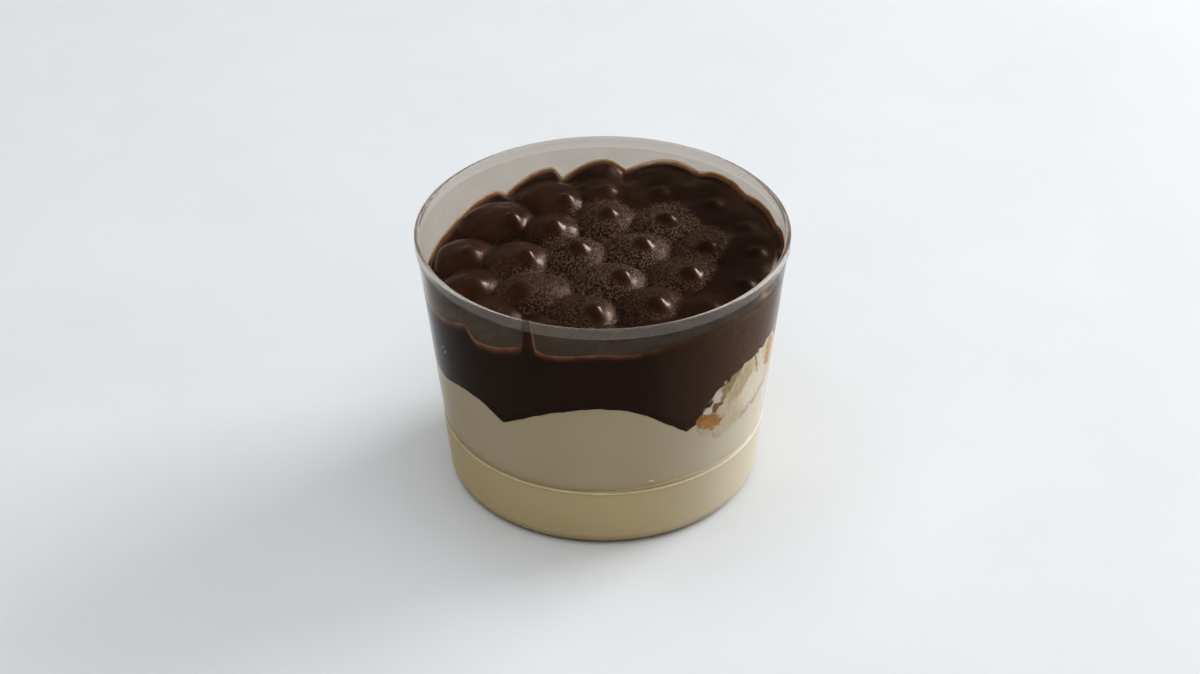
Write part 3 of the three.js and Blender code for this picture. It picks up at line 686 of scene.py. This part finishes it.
# Profiteroles seen from above: centre, half width and half depth, turn in degrees, top of the
# dome, place of the piped nub from the centre, how far the nub stands up, and how grainy it is
PROFITEROLES = [
    ((-13, 30), (7.8, 8.2), 0, 63.3, (3.8, -4), 1.5, 0.0),
    ((-27, 21), (10.2, 9.2), 30, 63.3, (4.2, -4.6), 1.5, 0.0),
    ((-12.9, 15.2), (7.2, 7.6), 0, 63.7, (0.6, -3.2), 1.4, 0.15),
    ((0.8, 32.6), (7.2, 7.6), 0, 63.1, (0.4, -2), 1.0, 0.0),
    ((0.9, 19.6), (8.2, 8.4), 0, 63.9, (0.7, -1.6), 1.4, 0.8),
    ((14.8, 29.8), (7.8, 7.8), 0, 63.7, (0, -1), 1.0, 0.0),
    ((16.9, 16.2), (9.4, 8.8), 0, 64.1, (-0.2, -1.4), 1.3, 0.9),
    ((28.9, 22), (7.6, 7.6), 0, 63.9, (0, -0.6), 1.1, 0.0),
    ((37.2, 11), (7.2, 7.2), 0, 63.9, (-0.4, -1), 0.9, 0.0),
    ((37.6, -1.8), (7.4, 7), 0, 63.9, (1.2, -0.4), 1.0, 0.0),
    ((26.2, 3.2), (7.4, 7.4), 0, 63.9, (0.3, -2), 1.4, 0.6),
    ((8.4, 4), (9, 8.4), 0, 64.1, (2.2, -1.4), 1.3, 1.0),
    ((-7, 2.6), (8.2, 8.2), 0, 63.9, (1.2, -1.8), 1.4, 1.0),
    ((-22, 0.6), (8.6, 8.8), -8, 63.9, (3, -3.9), 1.6, 0.35),
    ((1.2, -10.4), (9.6, 8.2), 8, 64.1, (4, -2.5), 1.5, 1.0),
    ((19.6, -8), (9.2, 8.2), 0, 63.9, (2.6, -3), 1.5, 0.6),
    ((34.9, -14), (8, 7.8), 0, 63.9, (0.6, -2.4), 1.1, 0.0),
    ((12.6, -21.2), (8, 8.4), 0, 63.7, (1, -3.6), 1.4, 0.5),
    ((-5.8, -24.6), (8.6, 8.4), 12, 63.5, (4.2, -3.6), 1.4, 0.6),
    ((-17, -14), (9.4, 8.2), -6, 63.7, (-4, -4.2), 0.8, 0.9),
    ((-32.6, -9.4), (7.6, 7.8), 0, 62.7, (0.8, -4.4), 0.9, 0.0),
    ((-34.6, 5.2), (8, 8.2), 0, 62.5, (0.8, -4), 0.9, 0.0),
    ((-27.4, -22.6), (7.6, 7.2), -35, 62.1, (-0.6, -2.6), 0.8, 0.0),
    ((25.4, -23.8), (8.2, 7.6), 25, 63.5, (0.7, -2.4), 0.8, 0.0),
    ((-15.6, -34), (7.8, 7), -20, 61.7, (0.8, -1), 0.8, 0.2),
    ((0.6, -37), (8, 6.6), 0, 61.7, (0.8, -1), 1.0, 0.1),
    ((15.8, -34.6), (7.8, 6.8), 20, 61.9, (0.8, -0.6), 1.0, 0.1),
]
DOME_FULLNESS = 0.7
DOME_LEAN = 0.55
DOME_SUNK = 0.3
DOME_COAT = 0.8
OUTSIDE_DROP = 2.5
NUB_RADIUS = 2.4
NUB_FILLET = 0.45
# Thin folds in the coating: centre, radius, direction of the middle, half of its turn, height
FOLDS = [
    ((-20.4, -18.2), 2.4, -75, 75, 0.26), ((-20.4, -18.2), 3.4, -70, 60, 0.2),
    ((-20.2, -18), 4.2, -65, 45, 0.14),
]
FOLD_WIDTH = 0.28
FOLD_TAPER = 0.4
FILLET = {"toward": 104, "start": 6, "end": 32, "thin": 0.4, "thick": 1.3}
BROAD_SWELLS = [(7.0, 0.4, 11.0)]
FINE_SWELLS = [(2.8, 0.14, 5.0)]
FINE_SWELLS_DROWNED = 0.15
# Painted shade: the chocolate is drawn fully dark up to the first height above the sauce's own surface, and
# not at all above the second
VALLEY_SHADE = (0.2, 3.0)
# The coating flattens out between these distances from the wall
LEVELS_FROM = 2.5
LEVEL_AT = 0.4


def toward(x, y, direction):
    """How far each point lies from the middle in a direction round the cup."""
    return x * math.sin(math.radians(direction)) - y * math.cos(math.radians(direction))


def sauce_top(x, y):
    """The sauce's own surface, without the profiteroles."""
    level = np.full_like(x, SAUCE_MIDDLE)
    for slope in SAUCE_SLOPES:
        level += slope["rise"] * soft_step(toward(x, y, slope["toward"]), slope["start"], slope["end"])
    edge = edge_height(SAUCE_EDGE, direction_of(x, y))
    share = soft_step(np.hypot(x, y), SAUCE_EDGE_START, inside_radius(edge))
    return level + (edge - level) * share


centres = np.array([row[0] for row in PROFITEROLES], dtype=float)
dome_bases = sauce_top(centres[:, 0], centres[:, 1]) - DOME_SUNK


def dome_height(index, x, y):
    """The dome of one profiterole, carried on below the sauce outside its outline."""
    (at_x, at_y), half, turn, top, nub_at, _, _ = PROFITEROLES[index]
    cos, sin = math.cos(math.radians(turn)), math.sin(math.radians(turn))

    def local(dx, dy):
        return (dx * cos + dy * sin) / (half[0] + DOME_COAT), (dy * cos - dx * sin) / (half[1] + DOME_COAT)

    apex_x, apex_y = local(DOME_LEAN * nub_at[0], DOME_LEAN * nub_at[1])
    place_x, place_y = local(x - at_x, y - at_y)
    from_x, from_y = place_x - apex_x, place_y - apex_y
    dot = from_x * apex_x + from_y * apex_y
    rest = 1 - apex_x * apex_x - apex_y * apex_y
    outward = (dot + np.sqrt(dot * dot + rest * (from_x * from_x + from_y * from_y))) / rest
    bulge = 1 - outward * outward
    rise = (top - dome_bases[index]) * np.abs(bulge) ** DOME_FULLNESS
    return dome_bases[index] + np.where(bulge > 0, rise, OUTSIDE_DROP * bulge)


def drowned_share(x, y):
    """0 where the sauce is a thin coat and 1 at the right, where it covers all but the nubs."""
    return soft_step(toward(x, y, FILLET["toward"]), FILLET["start"], FILLET["end"])


def thickness_and_valley_shade(x, y, height):
    """How dark the sauce is drawn: most where it lies thick and drowns the domes, and in the valleys as
    painted shade.
    """
    above = height - sauce_top(x, y)
    return np.maximum(drowned_share(x, y), 1 - soft_step(above, *VALLEY_SHADE))


def coated_top(x, y):
    """The sauce over everything, with a fillet round each profiterole that is thicker where the
    sauce drowns them."""
    sauce = sauce_top(x, y)
    fillet = FILLET["thin"] + (FILLET["thick"] - FILLET["thin"]) * drowned_share(x, y)
    total = np.exp((sauce - SAUCE_MIDDLE) / fillet)
    nubs = np.zeros_like(x)
    for index, ((at_x, at_y), _, _, _, nub_at, nub, _) in enumerate(PROFITEROLES):
        total += np.exp((dome_height(index, x, y) - SAUCE_MIDDLE) / fillet)
        from_nub = np.hypot(x - at_x - nub_at[0], y - at_y - nub_at[1]) / NUB_RADIUS
        nubs += NUB_FILLET * np.log1p(np.exp(nub * (1 - from_nub * from_nub) / NUB_FILLET))
    coated = SAUCE_MIDDLE + fillet * np.log(total) - (fillet - FILLET["thin"]) * math.log(2) + nubs
    for (fold_x, fold_y), radius, direction, half_turn, fold_height in FOLDS:
        off = (np.hypot(x - fold_x, y - fold_y) - radius) / FOLD_WIDTH
        turned = np.abs(direction_of(x - fold_x, y - fold_y) - direction)
        tapered = 1 - soft_step(turned, half_turn * FOLD_TAPER, half_turn)
        coated = coated + fold_height * np.exp(-off * off) * tapered
    fine = 1 - (1 - FINE_SWELLS_DROWNED) * drowned_share(x, y)
    coated = coated + ripples(x, y, BROAD_SWELLS) + fine * ripples(x, y, FINE_SWELLS)
    wall = inside_radius(sauce)
    return sauce + (coated - sauce) * (1 - soft_step(np.hypot(x, y), wall - LEVELS_FROM, wall - LEVEL_AT))


def run_share(x, y, core=1.0):
    """1 on the thin run of sauce up the wall and 0 beside it."""
    aside = np.abs(np.radians(direction_of(x, y) - RUN["direction"])) * np.hypot(x, y)
    return 1 - soft_step(aside, RUN["half_width"] * core, RUN["half_width"] + RUN["flare"])


def climb_at_wall(x, y, sauce):
    """How far the film and the run of sauce climb the wall above the sauce's surface."""
    radius = np.hypot(x, y)
    wall = inside_radius(sauce) + SAUCE_INTO_WALL
    film = FILM["height"] * soft_step(radius, wall - FILM["thickness"], wall)
    run = (RUN["top"] - sauce) * run_share(x, y) * soft_step(radius, wall - RUN["thickness"], wall)
    return np.maximum(film, run)


REACH_TURNS = np.linspace(-math.pi, math.pi, 361)
REACH_HALVINGS = 18
# A dome shows no further than this many times its larger half size, and not at the wall itself
LONGEST_REACH = 2.0
SHORT_OF_WALL = 0.5
nub_places = centres + np.array([row[4] for row in PROFITEROLES])


def footprint_reach(index):
    """How far the dome shows from its nub in each direction, before a neighbour, the sauce or
    the wall takes over."""
    near = np.zeros(len(REACH_TURNS))
    far = np.full(len(REACH_TURNS), LONGEST_REACH * max(PROFITEROLES[index][1]))
    for _ in range(REACH_HALVINGS):
        middle = (near + far) / 2
        x = nub_places[index][0] + np.cos(REACH_TURNS) * middle
        y = nub_places[index][1] + np.sin(REACH_TURNS) * middle
        own = dome_height(index, x, y)
        sauce = sauce_top(x, y)
        off_wall = np.hypot(x, y) < inside_radius(sauce) - SHORT_OF_WALL
        shows = (own + FILLET["thin"] / 2 > sauce) & off_wall
        for other in range(len(PROFITEROLES)):
            if other != index:
                shows &= own > dome_height(other, x, y)
        near = np.where(shows, middle, near)
        far = np.where(shows, far, middle)
    return near


reaches = [footprint_reach(index) for index in range(len(PROFITEROLES))]


def footprint_share(index, x, y):
    """0 at a profiterole's nub and 1 at the edge of its footprint."""
    dx, dy = x - nub_places[index][0], y - nub_places[index][1]
    return np.hypot(dx, dy) / np.interp(np.arctan2(dy, dx), REACH_TURNS, reaches[index])


# The grain starts between these distances from a nub, and ends just past the dome's footprint
GRAIN_FROM_NUB = (2.0, 4.0)
GRAIN_ENDS = (1.0, 1.3)
GRANULE_SIZE = 0.54
GRANULE_REACH = 0.62
GRANULE_SHARPNESS = 1.5


def grain_at(x, y):
    """How grainy the chocolate is: on the flanks of some profiteroles, never on their nubs."""
    grainy = np.zeros_like(x)
    for index, row in enumerate(PROFITEROLES):
        from_nub = np.hypot(x - nub_places[index][0], y - nub_places[index][1])
        share = 1 - soft_step(footprint_share(index, x, y), *GRAIN_ENDS)
        grainy = np.maximum(grainy, row[6] * share * soft_step(from_nub, *GRAIN_FROM_NUB))
    return grainy


def granule_at(places):
    """Fine round granules all over a surface: 1 on the top of each and 0 in the gaps."""
    nearest = np.array([noise.voronoi(Vector(place) / GRANULE_SIZE)[0][0] for place in places])
    return np.clip(1 - nearest / GRANULE_REACH, 0, 1) ** GRANULE_SHARPNESS


THIN_COAT = ((0.022, 0.0079, 0.0034), (0.036, 0.0132, 0.0056))
# Thick sauce where it drowns the domes, also used as painted shade in the valleys
THICK_COAT_AND_VALLEY_SHADE = ((0.008, 0.0032, 0.0014), (0.013, 0.0051, 0.0022))
# Grain: the gaps between granules painted darker as painted shade, and their tops painted lighter as
# painted highlight
GRAIN_PAINTED_SHADED_GAPS = (0.015, 0.0065, 0.0034)
GRAIN_PAINTED_LIT_TOPS = (0.25, 0.15, 0.093)
# The film's colours as it thins out, the palest ones painted light that shines through it from behind:
# where each begins, where it is full, and the colour
FILM_COLOURS = [
    (0, 0.4, (0.16, 0.065, 0.034)), (0.4, 0.85, (0.45, 0.25, 0.125)), (0.9, 1.25, (0.78, 0.64, 0.48)),
]
CHOCOLATE_TINT = (1.0, 0.50, 0.30)
# Each as it is on smooth chocolate and on grainy chocolate
COAT_WEIGHTS = (0.21, 0.04)
CHOCOLATE_ROUGHNESS = (0.34, 0.5)
# The sauce seen on the wall: its own dark colour, and painted light with lighter specks towards the cup's
# right, where the lamps light it
WALL_DARK = (0.024, 0.009, 0.0041)
WALL_PAINTED_LIGHT = (0.096, 0.046, 0.026)
WALL_SPECKS_PAINTED_LIT = (0.18, 0.098, 0.062)


def chocolate_colours(tree, place):
    """Dark chocolate with cloudy patches, darker where thick and, as painted shade, in the valleys, and the
    thin film that turns amber as it thins out and is painted pale where light shines through it from
    behind.
    """
    cloudy = patches(tree, place, size_mm=6.0)
    thin = blend_colours(tree, cloudy, *THIN_COAT)
    thick = blend_colours(tree, cloudy, *THICK_COAT_AND_VALLEY_SHADE)
    colour = blend_colours(tree, stored(tree, "drowned_and_valley_shade"), thin, thick)
    film = stored(tree, "film")
    for begins, full, film_colour in FILM_COLOURS:
        colour = blend_colours(tree, remap(tree, film, begins, full, 0, 1), colour, film_colour)
    return colour


def chocolate_finish(name):
    material, tree, shader = new_finish(name)
    place = object_place(tree)
    grain = stored(tree, "grain")
    # The granules' colour: painted highlight on their tops and painted shade in their gaps
    grainy = blend_colours(tree, stored(tree, "granule"), GRAIN_PAINTED_SHADED_GAPS, GRAIN_PAINTED_LIT_TOPS)
    colour = blend_colours(tree, grain, chocolate_colours(tree, place), grainy)
    tree.links.new(colour, shader.inputs["Base Color"])
    shader.inputs["Specular IOR Level"].default_value = 0.5
    shader.inputs["Specular Tint"].default_value = (*CHOCOLATE_TINT, 1)
    tree.links.new(remap(tree, grain, 0, 1, *COAT_WEIGHTS), shader.inputs["Coat Weight"])
    shader.inputs["Coat Roughness"].default_value = 0.15
    tree.links.new(remap(tree, grain, 0, 1, *CHOCOLATE_ROUGHNESS), shader.inputs["Roughness"])
    bubbles = multiply(tree, noise_pattern(tree, place, grain_mm=0.3), grain)
    relief(tree, shader, bubbles, distance_mm=0.15)
    return material


def chocolate_on_wall():
    material, tree, shader = new_finish("chocolate_on_the_wall")
    place = object_place(tree)
    specks = patches(tree, place, size_mm=0.6, low=0.42, high=0.66, detail=2.0)
    speckled = blend_colours(tree, specks, WALL_PAINTED_LIGHT, WALL_SPECKS_PAINTED_LIT)
    # Painted light: paler and speckled towards the cup's right
    lit = blend_colours(tree, painted_light_side(tree, place), WALL_DARK, speckled)
    begins, full = FILM_COLOURS[0][:2]
    film = remap(tree, stored(tree, "film"), begins, full, 0, 1)
    colour = blend_colours(tree, film, lit, chocolate_colours(tree, place))
    tree.links.new(colour, shader.inputs["Base Color"])
    shader.inputs["Roughness"].default_value = 0.6
    shader.inputs["Specular IOR Level"].default_value = 0.05
    return material


SAUCE_SINK = 0.5
SINK_EASE = 0.1
SAUCE_TOP_DEPTH = 3
ON_WALL_WITHIN = 0.3
MIST_ABOVE_EDGE = (0.5, 1.3)
DOME_HIDDEN = 0.94


def sauce_surface(x, y):
    """The sauce's upper surface, drawn down a little under each profiterole."""
    nearest = np.full_like(x, np.inf)
    for index in range(len(PROFITEROLES)):
        nearest = np.minimum(nearest, footprint_share(index, x, y))
    sunk = SAUCE_SINK * (1 - soft_step(nearest, DOME_HIDDEN - SINK_EASE, DOME_HIDDEN))
    return coated_top(x, y) - sunk + climb_at_wall(x, y, sauce_top(x, y))


def sauce_bottom(x, y):
    return cream_top(x, y) - LAYER_OVERLAP


def sauce_reach(height):
    return inside_radius(height) + SAUCE_INTO_WALL


sauce_mesh = poured_layer(
    sauce_bottom, sauce_surface, sauce_reach, steps=720, top_rings=112, side_rings=8, bottom_rings=4,
    crowding=1.5,
)
sauce_places = vertex_places(sauce_mesh)
sauce_piece = settle(sauce_mesh, "chocolate_sauce_pour", chocolate_finish("chocolate_sauce"))
sauce_x, sauce_y, sauce_z = sauce_places.T
sauce_radius = np.hypot(sauce_x, sauce_y)
sauce_direction = direction_of(sauce_x, sauce_y)
edge_line = edge_height(SAUCE_EDGE, sauce_direction)
wall_at_edge = inside_radius(edge_line)
near_wall = soft_step(sauce_radius, wall_at_edge - FILM["fades_in"], wall_at_edge - FILM["full"])
film_share = soft_step(sauce_z, edge_line - FILM["starts_below"], edge_line + FILM["height"])
film_and_backlight = np.interp(sauce_direction, *zip(*FILM_AND_BACKLIGHT_BY_DIRECTION))
patchy = 1 + FILM["unevenness"] * noise_at(sauce_places, FILM["patches"], seed=2.0)
off_run = 1 - FILM["off_run"] * run_share(sauce_x, sauce_y, core=FILM["run_core"])
store(sauce_piece, "film", film_share * near_wall * film_and_backlight * patchy * off_run)
on_top = sauce_z > SAUCE_MIDDLE - SAUCE_TOP_DEPTH
store(sauce_piece, "grain", grain_at(sauce_x, sauce_y) * on_top)
store(sauce_piece, "drowned_and_valley_shade", thickness_and_valley_shade(sauce_x, sauce_y, sauce_z))
store(sauce_piece, "granule", granule_at(sauce_places))
sauce_piece.data.materials.append(chocolate_on_wall())
touches_wall = sauce_radius > inside_radius(sauce_z) + SAUCE_INTO_WALL - ON_WALL_WITHIN
for polygon in sauce_piece.data.polygons:
    polygon.material_index = int(touches_wall[list(polygon.vertices)].all())
# The cup is misted above the sauce's edge, except behind the run
cup_x, cup_y, cup_z = (np.array([vert.co for vert in cup.data.vertices]) / MM).T
over_edge = cup_z - edge_height(SAUCE_EDGE, direction_of(cup_x, cup_y))
inside = np.hypot(cup_x, cup_y) < inside_radius(cup_z) + WALL / 2
store(cup, "mist", soft_step(over_edge, *MIST_ABOVE_EDGE) * (1 - run_share(cup_x, cup_y)) * inside)
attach(sauce_piece, "root")
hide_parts("chocolate_sauce")

# The profiteroles: choux buns with a piped nub, packed side by side and coated by the sauce.
# Smooth and glossy round the nub, and grainy with fine bubbles on the flanks of some.
DOME_GRID = 116
DOME_ROOT = 2.0
DOME_DIP = 0.06
GRAIN_DEPTH = 0.22
coating = chocolate_finish("chocolate_coating")
for index in range(len(PROFITEROLES)):
    name = f"profiterole_{index + 1:02d}"
    dome = bmesh.new()
    bmesh.ops.create_grid(dome, x_segments=DOME_GRID, y_segments=DOME_GRID, size=1)
    top_count = len(dome.verts)
    bmesh.ops.extrude_edge_only(dome, edges=[edge for edge in dome.edges if edge.is_boundary])
    square = vertex_places(dome)
    across = square[:, 0] * np.sqrt(1 - square[:, 1] ** 2 / 2)
    back = square[:, 1] * np.sqrt(1 - square[:, 0] ** 2 / 2)
    share = np.hypot(across, back)
    turn = np.arctan2(back, across)
    outward = np.interp(turn, REACH_TURNS, reaches[index]) * share
    x = nub_places[index][0] + outward * np.cos(turn)
    y = nub_places[index][1] + outward * np.sin(turn)
    height = coated_top(x, y) - DOME_DIP * soft_step(share, DOME_HIDDEN, 1)
    grainy = grain_at(x, y)
    granule = granule_at(np.stack([x, y, height], 1))
    height = height + GRAIN_DEPTH * grainy * granule
    height[top_count:] = height[:top_count].min() - DOME_ROOT
    move_vertices(dome, np.stack([x, y, height], 1))
    bmesh.ops.holes_fill(dome, edges=[edge for edge in dome.edges if edge.is_boundary], sides=0)
    bmesh.ops.recalc_face_normals(dome, faces=dome.faces)
    bun_piece = settle(dome, name + "_dome", coating)
    store(bun_piece, "film", np.zeros(len(x)))
    store(bun_piece, "grain", grainy)
    store(bun_piece, "drowned_and_valley_shade", thickness_and_valley_shade(x, y, height))
    store(bun_piece, "granule", granule)
    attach(bun_piece, "root")
    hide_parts(name)

# The floor, the light and the camera: a plain pale floor under a wide soft lamp, and a window's
# light from the back right. The camera stands where the photograph was taken from.
FLOOR_SIZE = 6.0
FLOOR_COLOURS = ((0.84, 0.86, 0.88), (0.875, 0.895, 0.915))
floor_mesh = bmesh.new()
bmesh.ops.create_grid(floor_mesh, x_segments=1, y_segments=1, size=FLOOR_SIZE / 2 / MM)
floor_material, floor_tree, floor_shader = new_finish("pale_floor")
floor_patches = patches(floor_tree, object_place(floor_tree), size_mm=60.0, detail=8.0)
floor_colour = blend_colours(floor_tree, floor_patches, *FLOOR_COLOURS)
floor_tree.links.new(floor_colour, floor_shader.inputs["Base Color"])
floor_shader.inputs["Roughness"].default_value = 0.7
floor_shader.inputs["Specular IOR Level"].default_value = 0.2
floor = settle(floor_mesh, "floor", floor_material)

# Places and sizes in metres. Only the window shows as a reflection.
LAMPS = {
    "overhead": {
        "place": (-0.1, -0.15, 1.5), "width": 2.0, "height": 2.0, "watts": 21.5,
        "colour": (0.97, 0.985, 1.0), "glossy": False,
    },
    "window": {
        "place": (1.13, 0.68, 0.6), "width": 0.75, "height": 0.36, "watts": 13.0,
        "colour": (0.99, 0.99, 0.99), "glossy": True,
    },
    "daylight": {
        "place": (1.3, 0.2, 0.75), "width": 2.2, "height": 1.2, "watts": 4.5,
        "colour": (0.99, 0.99, 0.99), "glossy": False,
    },
}
LAMPS_AIM = Vector((0, 0, 0.04))
ROOM = {"colour": (0.93, 0.96, 1.0), "strength": 0.05}
for name, lamp in LAMPS.items():
    lamp_data = bpy.data.lights.new(name, "AREA")
    lamp_data.shape = "RECTANGLE"
    lamp_data.size = lamp["width"]
    lamp_data.size_y = lamp["height"]
    lamp_data.energy = lamp["watts"]
    lamp_data.color = lamp["colour"]
    lamp_object = bpy.data.objects.new(name, lamp_data)
    lamp_object.location = lamp["place"]
    lamp_object.rotation_euler = (LAMPS_AIM - Vector(lamp["place"])).to_track_quat("-Z", "Y").to_euler()
    lamp_object.visible_glossy = lamp["glossy"]
    bpy.context.scene.collection.objects.link(lamp_object)
world = bpy.data.worlds.new("room")
world.use_nodes = True
world.node_tree.nodes["Background"].inputs["Color"].default_value = (*ROOM["colour"], 1)
world.node_tree.nodes["Background"].inputs["Strength"].default_value = ROOM["strength"]
bpy.context.scene.world = world
bpy.context.scene.view_settings.view_transform = "Standard"

CAMERA = {
    "lens": 90, "sensor": 36, "elevation": 33.21, "distance": 0.77383, "target": (-0.00081, 0, 0.03718),
    "roll": -0.35,
}
camera_data = bpy.data.cameras.new("camera")
camera_data.lens = CAMERA["lens"]
camera_data.sensor_width = CAMERA["sensor"]
camera = bpy.data.objects.new("camera", camera_data)
elevation = math.radians(CAMERA["elevation"])
backward = Vector((0, -math.cos(elevation), math.sin(elevation)))
camera.matrix_world = (
    Matrix.Translation(Vector(CAMERA["target"]) + backward * CAMERA["distance"])
    @ Matrix.Rotation(math.pi / 2 - elevation, 4, "X")
    @ Matrix.Rotation(math.radians(CAMERA["roll"]), 4, "Z")
)
bpy.context.scene.collection.objects.link(camera)
bpy.context.scene.camera = camera
